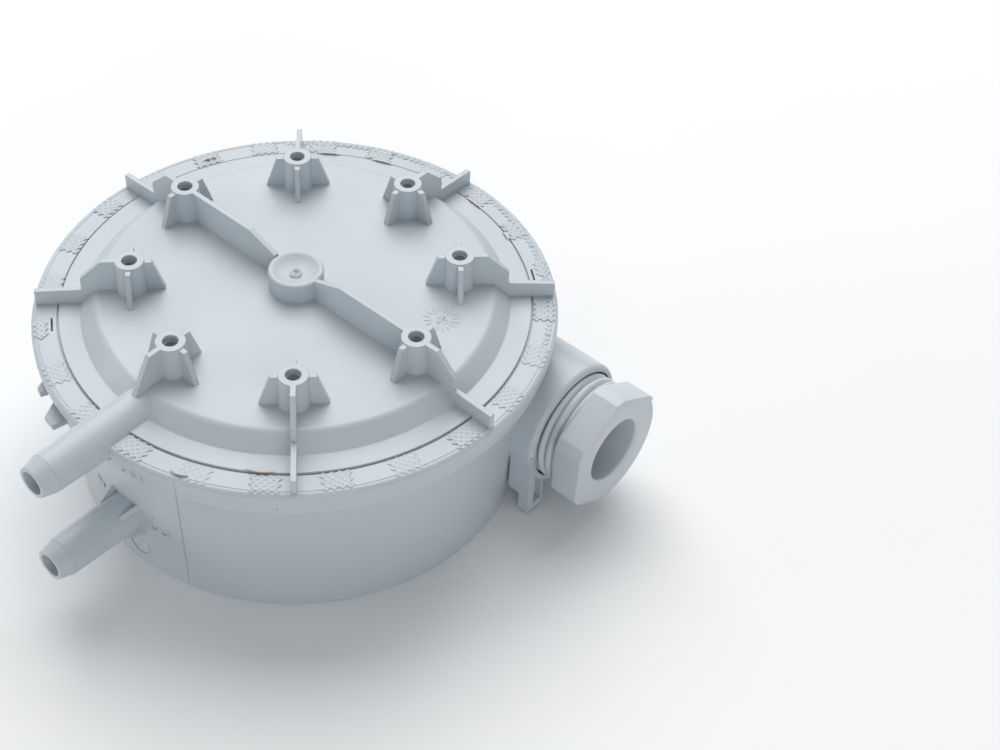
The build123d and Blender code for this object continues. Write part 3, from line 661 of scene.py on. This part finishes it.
def finishes():
    """All finishes by slot, made once."""
    colours = bpy.context.scene.switch_colours
    if "Body plastic" not in bpy.data.materials:
        moulded_plastic("Body plastic", colours.body_grey, colours.body_shade, edge=SOFT_EDGE)
        moulded_plastic("Relief plastic", colours.body_grey, colours.body_shade)
        moulded_plastic("Gland plastic", colours.gland_grey,
                        [c * 0.95 for c in colours.gland_grey], speck=0.1)
        moulded_plastic("Flash plastic", colours.flash_beige, colours.body_grey, speck=0.0)
        moulded_plastic("Scar plastic", *SCAR_GREYS, speck=0.3, grain=0.5, roughness=0.7)
        moulded_plastic("White plastic", *WHITES, speck=0.1)
        moulded_plastic("Black plastic", *BLACKS, speck=0.0)
        rubber_finish("Black rubber", RUBBER_BLACK)
        metal_finish("Brass", BRASS, roughness=0.28)
        metal_finish("Zinc steel", ZINC, roughness=0.3)
    return {slot: bpy.data.materials[name] for slot, name in MATERIALS.items()}


def floor_finish(colour):
    """Pale floor that is plain white to the camera but still takes the object's shadow."""
    material = bpy.data.materials.new("Studio floor")
    material.use_nodes = True
    nodes = material.node_tree.nodes
    links = material.node_tree.links
    shader = nodes["Principled BSDF"]
    shader.inputs["Roughness"].default_value = 0.9
    shader.inputs["Specular IOR Level"].default_value = 0.0
    mottle = nodes.new("ShaderNodeTexNoise")
    mottle.inputs["Scale"].default_value = 20.0
    place = nodes.new("ShaderNodeTexCoord")
    links.new(place.outputs["Object"], mottle.inputs["Vector"])
    tone = nodes.new("ShaderNodeMix")
    tone.data_type = "RGBA"
    tone.inputs[6].default_value = (*colour, 1)
    tone.inputs[7].default_value = (*[c * 0.98 for c in colour], 1)
    links.new(mottle.outputs["Fac"], tone.inputs["Factor"])
    path = nodes.new("ShaderNodeLightPath")
    direct = nodes.new("ShaderNodeMath")
    direct.operation = "MAXIMUM"
    links.new(path.outputs["Is Camera Ray"], direct.inputs[0])
    links.new(path.outputs["Is Glossy Ray"], direct.inputs[1])
    seen = nodes.new("ShaderNodeMath")
    seen.operation = "MAXIMUM"
    links.new(direct.outputs["Value"], seen.inputs[0])
    links.new(path.outputs["Is Transmission Ray"], seen.inputs[1])
    dim = nodes.new("ShaderNodeMix")
    dim.data_type = "RGBA"
    dim.inputs[6].default_value = (*FLOOR_BOUNCE, 1)
    links.new(tone.outputs[2], dim.inputs[7])
    links.new(seen.outputs["Value"], dim.inputs["Factor"])
    links.new(dim.outputs[2], shader.inputs["Base Color"])
    return material


# Surroundings, lamps and camera

def studio_world():
    """Even pale world that the camera sees as white."""
    world = bpy.data.worlds.new("Studio")
    world.use_nodes = True
    nodes = world.node_tree.nodes
    links = world.node_tree.links
    back = nodes["Background"]
    back.inputs["Color"].default_value = (*WORLD_TINT, 1)
    back.inputs["Strength"].default_value = WORLD_STRENGTH
    seen = nodes.new("ShaderNodeBackground")
    seen.inputs["Color"].default_value = (1, 1, 1, 1)
    seen.inputs["Strength"].default_value = 1.0
    path = nodes.new("ShaderNodeLightPath")
    choice = nodes.new("ShaderNodeMixShader")
    links.new(path.outputs["Is Camera Ray"], choice.inputs[0])
    links.new(back.outputs[0], choice.inputs[1])
    links.new(seen.outputs[0], choice.inputs[2])
    links.new(choice.outputs[0], nodes["World Output"].inputs["Surface"])
    return world


def lamp(name, place, size, power):
    """Square soft lamp aimed at the object."""
    light = bpy.data.lights.new(name, "AREA")
    light.size = size
    light.energy = power
    holder = bpy.data.objects.new(name, light)
    holder.location = place
    aim = Vector(LAMP_AIM) - Vector(place)
    holder.rotation_euler = aim.to_track_quat("-Z", "Y").to_euler()
    bpy.context.collection.objects.link(holder)


def studio_camera():
    """Camera at the photograph's place and angle."""
    lens = bpy.data.cameras.new("Camera")
    lens.lens = FOCAL_MM
    lens.sensor_width = SENSOR_MM
    lens.shift_x = SHIFT_X
    lens.shift_y = SHIFT_Y
    lens.clip_start = CLIP_START
    camera = bpy.data.objects.new("Camera", lens)
    turn = Matrix.Rotation(math.radians(CAMERA_AZIMUTH), 4, "Z")
    tilt = Matrix.Rotation(math.radians(90 - CAMERA_ELEVATION), 4, "X")
    roll = Matrix.Rotation(math.radians(CAMERA_ROLL), 4, "Z")
    camera.matrix_world = Matrix.Translation(CAMERA_PLACE) @ turn @ tilt @ roll
    bpy.context.collection.objects.link(camera)
    return camera


# Operators, one for each piece or group of like pieces

class SWITCH_OT_frame_finish(bpy.types.Operator):
    """Give every solid of the frame its procedural finish"""

    bl_idname = "pressure_switch.frame_finish"
    bl_label = "Finish the frame"

    def execute(self, context):
        looks = finishes()
        for part in frame["record"]["subparts"]:
            node = frame["nodes"][part["node"]]
            node.data.materials.clear()
            node.data.materials.append(looks[part["material_slot"]])
            pick(node)
            bpy.ops.object.shade_smooth_by_angle(angle=math.radians(25))
        clear_selection()
        return {"FINISHED"}


class SWITCH_OT_gland_screw(bpy.types.Operator):
    """Make the gland's pressure screw with its thread and rounded hexagonal head"""

    bl_idname = "pressure_switch.gland_screw"
    bl_label = "Gland screw"

    def execute(self, context):
        sizes = context.scene.switch_sizes
        root = THREAD_R - sizes.thread_depth
        pitch = sizes.thread_pitch
        start = SHANK_X - THREAD_LEAD_IN
        screw = drawn_chain([(root + rise * sizes.thread_depth, 0.0, start + along * pitch)
                             for along, rise in THREAD_RIDGE])
        bpy.ops.object.mode_set(mode="OBJECT")
        thread = screw.modifiers.new("Thread", "SCREW")
        thread.screw_offset = pitch
        thread.iterations = THREAD_TURNS
        thread.steps = THREAD_STEPS
        thread.render_steps = THREAD_STEPS
        bpy.ops.object.modifier_apply(modifier=thread.name)
        bpy.ops.object.mode_set(mode="EDIT")
        bpy.ops.mesh.select_all(action="SELECT")
        bpy.ops.mesh.remove_doubles(threshold=WELD)
        cut_level(SHANK_X, True)
        cut_level(HEAD_X + THREAD_LAP, False)
        bpy.ops.mesh.select_all(action="SELECT")
        bpy.ops.mesh.normals_make_consistent(inside=False)
        bpy.ops.object.mode_set(mode="OBJECT")

        clear_selection()
        thickness = HEAD_END_X - HEAD_X
        middle = (HEAD_END_X + HEAD_X) / 2
        bpy.ops.mesh.primitive_cylinder_add(vertices=6, radius=HEAD_FLATS / math.sqrt(3),
                                            depth=thickness, location=(0, 0, middle))
        head = context.object
        corner = head.data.vertices[0].co
        head.rotation_euler = (0, 0, HEAD_TURN - math.atan2(corner.y, corner.x))
        bpy.ops.object.transform_apply(location=True, rotation=True, scale=True)
        bpy.ops.mesh.primitive_cylinder_add(vertices=ROUND_STEPS, radius=HEAD_CORNER_R,
                                            depth=thickness * 2, location=(0, 0, middle))
        head = carved(head, context.object, "INTERSECT")
        bpy.ops.mesh.primitive_cylinder_add(vertices=ROUND_STEPS, radius=HEAD_ROUND_R,
                                            depth=thickness, location=(0, 0, middle))
        flank = context.object
        out = Vector((math.cos(HEAD_ROUND_TURN), math.sin(HEAD_ROUND_TURN), 0))
        cuts = ((flank, HEAD_ROUND_CUT - HEAD_ROUND_LAP, True), (head, HEAD_ROUND_CUT, False))
        for piece, at, outer_side in cuts:
            pick(piece)
            bpy.ops.object.mode_set(mode="EDIT")
            bpy.ops.mesh.select_all(action="SELECT")
            bpy.ops.mesh.bisect(plane_co=out * at, plane_no=out, use_fill=True,
                                clear_inner=outer_side, clear_outer=not outer_side)
            bpy.ops.object.mode_set(mode="OBJECT")
        head = carved(head, flank, "UNION")
        rounded(head, HEAD_BEVEL, segments=4, sharper_than=20)
        screw = carved(screw, head, "UNION")
        mouth = [(CABLE_R + out * MM, HEAD_END_X + up * MM) for out, up in MOUTH_OUTLINE]
        bore = turned([(0, SHANK_X - MM), (CABLE_R, SHANK_X - MM), *mouth, (0, HEAD_END_X + MM)],
                      "bore", steps=96)
        screw = carved(screw, bore, "DIFFERENCE")
        turned_onto_gland(screw)
        finish_piece(screw, "gland_pressure_screw", "gland_plastic", smooth_deg=32.0,
                     body=SCREW_BODY)
        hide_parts("gland_screw")
        return {"FINISHED"}


class SWITCH_OT_rim_pads(bpy.types.Operator):
    """Set the checkered pads round the rim band"""

    bl_idname = "pressure_switch.rim_pads"
    bl_label = "Rim pads"

    def execute(self, context):
        sizes = context.scene.switch_sizes
        cell = sizes.pad_cell
        rise = sizes.pad_rise
        pad = waffle(sizes.pad_width, PAD_RADIAL, cell, rise, rise)
        narrow = waffle(sizes.pad_width, SLIT_PAD_RADIAL, cell, rise, rise)
        strip = waffle(STRIP_LENGTH, STRIP_RADIAL, cell * STRIP_CELL, rise * STRIP_RISE,
                       rise * STRIP_SINK)
        pieces = []
        for index in range(sizes.pad_count):
            angle = PAD_FIRST + index * 360.0 / sizes.pad_count
            drop = PAD_DROP * (1 + uneven(index, 2.4))
            shift = PAD_SHIFT * uneven(index, 1.7)
            source, radius = (narrow, SLIT_PAD_R) if angle in SLIT_PADS else (pad, PAD_R + shift)
            pieces.append(copied(source, on_band(angle, radius, BAND_Z + rise - drop)))
        for index, angle in enumerate(STRIP_ANGLES):
            drop = STRIP_DROP * (1 + uneven(index, 1.9))
            height = BAND_Z + rise * STRIP_RISE - drop
            pieces.append(copied(strip, on_band(angle, STRIP_R, height)))
        removed([pad, narrow, strip])
        finish_piece(joined(pieces), "rim_pads", "relief", smooth_deg=75.0)
        return {"FINISHED"}


class SWITCH_OT_hole_ledges(bpy.types.Operator):
    """Turn the narrow ledges that show inside the eight pilot holes"""

    bl_idname = "pressure_switch.hole_ledges"
    bl_label = "Pilot hole ledges"

    def execute(self, context):
        outline = [(HOLE_R + out * MM, up * MM) for out, up in LEDGE_OUTLINE]
        ledge = turned(outline, "ledge", steps=40)
        lean = Matrix.Rotation(LEDGE_LEAN, 4, "X")
        pieces = []
        for index in range(BOSS_COUNT):
            angle = 360.0 / BOSS_COUNT * index
            for depth in LEDGE_DEPTHS:
                place = on_band(angle, BOSS_CIRCLE_R, TOP_Z - depth)
                pieces.append(copied(ledge, place @ lean))
        removed([ledge])
        finish_piece(joined(pieces), "hole_ledges", "relief", smooth_deg=50.0)
        return {"FINISHED"}


class SWITCH_OT_flash(bpy.types.Operator):
    """Lay the thin slivers of flash along the rim band"""

    bl_idname = "pressure_switch.flash"
    bl_label = "Flash"

    def execute(self, context):
        pieces = []
        for angle, radius, length in FLASH:
            long = length * MM
            outline = [(out * MM, along * long) for out, along in SLIVER_OUTLINE]
            sliver = plate_of(outline, SLIVER_THICKNESS, "sliver")
            chosen(sliver, "VERT", lambda point: abs(point.co.y) < CURL_REACH * long)
            bpy.ops.transform.translate(value=SLIVER_CURL)
            bpy.ops.object.mode_set(mode="OBJECT")
            sliver.data.transform(on_band(angle, radius * MM, SHOULDER_Z - SLIVER_SINK))
            pieces.append(sliver)
        finish_piece(joined(pieces), "flash_slivers", "flash", smooth_deg=30.0)
        return {"FINISHED"}


class SWITCH_OT_date_dial(bpy.types.Operator):
    """Raise the moulder's date dial on the cover"""

    bl_idname = "pressure_switch.date_dial"
    bl_label = "Date dial"

    def execute(self, context):
        radius = context.scene.switch_sizes.dial_radius
        pieces = []
        for index in range(DIAL_TICKS):
            turn = math.radians(360.0 / DIAL_TICKS * index + DIAL_TICK_TURN)
            inner = radius * (TICK_INNER[0] + TICK_INNER[1] * uneven(index, 2.1))
            outer = radius * (TICK_OUTER[0] + TICK_OUTER[1] * uneven(index, 1.3))
            out = Vector((math.cos(turn), math.sin(turn)))
            pieces.append(stroke(out * inner, out * outer, DIAL_TICK_WIDTH, DIAL_RISE))
        for ends in DIAL_STROKES:
            start, end = ([radius * c for c in place] for place in ends)
            pieces.append(stroke(start, end, DIAL_STROKE_WIDTH, DIAL_RISE))
        dial = joined(pieces)
        lean = Matrix.Rotation(math.radians(DIAL_TURN), 4, "Z")
        dial.data.transform(Matrix.Translation((*DIAL_PLACE, PLATEAU_Z - RELIEF_SINK)) @ lean)
        finish_piece(dial, "date_dial", "relief", smooth_deg=40.0, bevel=DIAL_BEVEL)
        return {"FINISHED"}


class SWITCH_OT_wall_marks(bpy.types.Operator):
    """Raise the small mould marks on the drum's wall and the skirt"""

    bl_idname = "pressure_switch.wall_marks"
    bl_label = "Wall marks"

    def execute(self, context):
        ring = turned(((RING_IN_R, 0), (RING_OUT_R, 0), (RING_OUT_R, MARK_RISE),
                       (RING_IN_R, MARK_RISE)), "ring", steps=64)
        ring.data.transform(on_wall(RING_ANGLE, RING_HEIGHT, RING_SINK))
        pieces = [ring]
        for angle, height, marks in WALL_MARKS:
            for start, end in marks:
                mark = stroke([c * MM for c in start], [c * MM for c in end], MARK_WIDTH,
                              MARK_RISE)
                base = SKIRT_R if height > SKIRT_FROM else None
                mark.data.transform(on_wall(angle, height * MM, RELIEF_SINK, base))
                pieces.append(mark)
        finish_piece(joined(pieces), "wall_marks", "relief", smooth_deg=40.0, bevel=MARK_BEVEL)
        return {"FINISHED"}


class SWITCH_OT_seams(bpy.types.Operator):
    """Draw the mould's fine parting seams on drum, skirt, lip and band"""

    bl_idname = "pressure_switch.seams"
    bl_label = "Parting seams"

    def execute(self, context):
        pieces = []
        for angle, low, high, out, tilt in WALL_SEAMS:
            span = (high - low) * MM
            seam = plate_of(((-SEAM_HALF, -span / 2), (SEAM_HALF, -span / 2),
                             (SEAM_HALF, span / 2), (-SEAM_HALF, span / 2)), SEAM_HALF, "seam")
            lean = Matrix.Rotation(1 / WALL_SLOPE * tilt, 4, "X")
            base = out and out * MM
            seam.data.transform(on_wall(angle, (low + high) / 2 * MM, RELIEF_SINK, base) @ lean)
            pieces.append(seam)
        lip = [(radius * MM, BAND_Z + up * MM) for radius, up in LIP_LINE]
        pieces.append(turned(lip, "lip_line", steps=256))
        finish_piece(joined(pieces), "parting_seams", "grey_plastic", smooth_deg=30.0)
        return {"FINISHED"}


class SWITCH_OT_nozzle_roots(bpy.types.Operator):
    """Blend the thicker roots of the two hose nozzles into their shanks"""

    bl_idname = "pressure_switch.nozzle_roots"
    bl_label = "Nozzle roots"

    def execute(self, context):
        pieces = []
        for height, start in NOZZLE_ROOTS:
            sleeve = turned(((ROOT_IN_R, start), (ROOT_R, start), (ROOT_R, ROOT_FULL),
                             (ROOT_END_R, ROOT_END), (ROOT_IN_R, ROOT_END)), "sleeve", steps=96)
            pick(sleeve)
            sleeve.rotation_euler = (math.radians(90), 0, 0)
            sleeve.location = (0, 0, height)
            bpy.ops.object.transform_apply(location=True, rotation=True, scale=True)
            pieces.append(sleeve)
        finish_piece(joined(pieces), "nozzle_roots", "grey_plastic", smooth_deg=50.0)
        return {"FINISHED"}


class SWITCH_OT_hub_bowl(bpy.types.Operator):
    """Turn the hub's softly rounded bowl"""

    bl_idname = "pressure_switch.hub_bowl"
    bl_label = "Hub bowl"

    def execute(self, context):
        bowl = turned([(radius * MM, height * MM) for radius, height in HUB_PROFILE],
                      "bowl", steps=128)
        finish_piece(bowl, "hub_bowl", "grey_plastic", smooth_deg=60.0)
        return {"FINISHED"}


class SWITCH_OT_gate_scar(bpy.types.Operator):
    """Make the torn end of the gate in the hub's dish"""

    bl_idname = "pressure_switch.gate_scar"
    bl_label = "Gate scar"

    def execute(self, context):
        tear = bpy.data.textures.new("Tear", "CLOUDS")
        tear.noise_scale = TEAR_GRAIN
        lumps = []
        for place, radius, flat in GATE_LUMPS:
            clear_selection()
            bpy.ops.mesh.primitive_uv_sphere_add(segments=32, ring_count=16, radius=radius,
                                                 location=place)
            lump = context.object
            lump.scale = (1.0, 1.0, flat)
            bpy.ops.object.transform_apply(location=True, rotation=True, scale=True)
            torn = lump.modifiers.new("Torn", "DISPLACE")
            torn.texture = tear
            torn.strength = TEAR_DEPTH
            torn.texture_coords = "LOCAL"
            bpy.ops.object.modifier_apply(modifier=torn.name)
            lumps.append(lump)
        finish_piece(joined(lumps), "gate_scar", "scar", smooth_deg=60.0)
        return {"FINISHED"}


class SWITCH_OT_stage(bpy.types.Operator):
    """Set up the floor, the lamps, the world and the camera"""

    bl_idname = "pressure_switch.stage"
    bl_label = "Set the stage"

    def execute(self, context):
        scene = context.scene
        colours = scene.switch_colours
        clear_selection()
        bpy.ops.mesh.primitive_plane_add(size=FLOOR_SIZE, location=(0, 0, 0))
        floor = context.object
        floor.name = "studio_floor"
        floor.data.materials.append(floor_finish(colours.floor_white))
        scene.world = studio_world()
        for name, place, size, power in LAMPS:
            lamp(name, place, size, power)
        scene.camera = studio_camera()
        scene.view_settings.view_transform = "Standard"
        return {"FINISHED"}


class SWITCH_PT_panel(bpy.types.Panel):
    """Sidebar panel with the sizes, colours and steps"""

    bl_label = "Pressure switch"
    bl_idname = "SWITCH_PT_panel"
    bl_space_type = "VIEW_3D"
    bl_region_type = "UI"
    bl_category = "Pressure switch"

    def draw(self, context):
        for group in (context.scene.switch_sizes, context.scene.switch_colours):
            for name in group.__annotations__:
                self.layout.prop(group, name)
        for step in STEPS:
            self.layout.operator(step.bl_idname)


STEPS = (
    SWITCH_OT_frame_finish,
    SWITCH_OT_gland_screw,
    SWITCH_OT_rim_pads,
    SWITCH_OT_hole_ledges,
    SWITCH_OT_flash,
    SWITCH_OT_date_dial,
    SWITCH_OT_wall_marks,
    SWITCH_OT_seams,
    SWITCH_OT_nozzle_roots,
    SWITCH_OT_hub_bowl,
    SWITCH_OT_gate_scar,
    SWITCH_OT_stage,
)
CLASSES = (SwitchSizes, SwitchColours, SWITCH_PT_panel) + STEPS


def register():
    """Register the classes and their settings."""
    for cls in CLASSES:
        bpy.utils.register_class(cls)
    bpy.types.Scene.switch_sizes = bpy.props.PointerProperty(type=SwitchSizes)
    bpy.types.Scene.switch_colours = bpy.props.PointerProperty(type=SwitchColours)


def unregister():
    """Remove the settings and the classes."""
    del bpy.types.Scene.switch_colours
    del bpy.types.Scene.switch_sizes
    for cls in reversed(CLASSES):
        bpy.utils.unregister_class(cls)


def main():
    """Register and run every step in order."""
    register()
    for step in STEPS:
        family, name = step.bl_idname.split(".")
        getattr(getattr(bpy.ops, family), name)()
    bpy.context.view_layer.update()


if __name__ == "__main__":
    main()
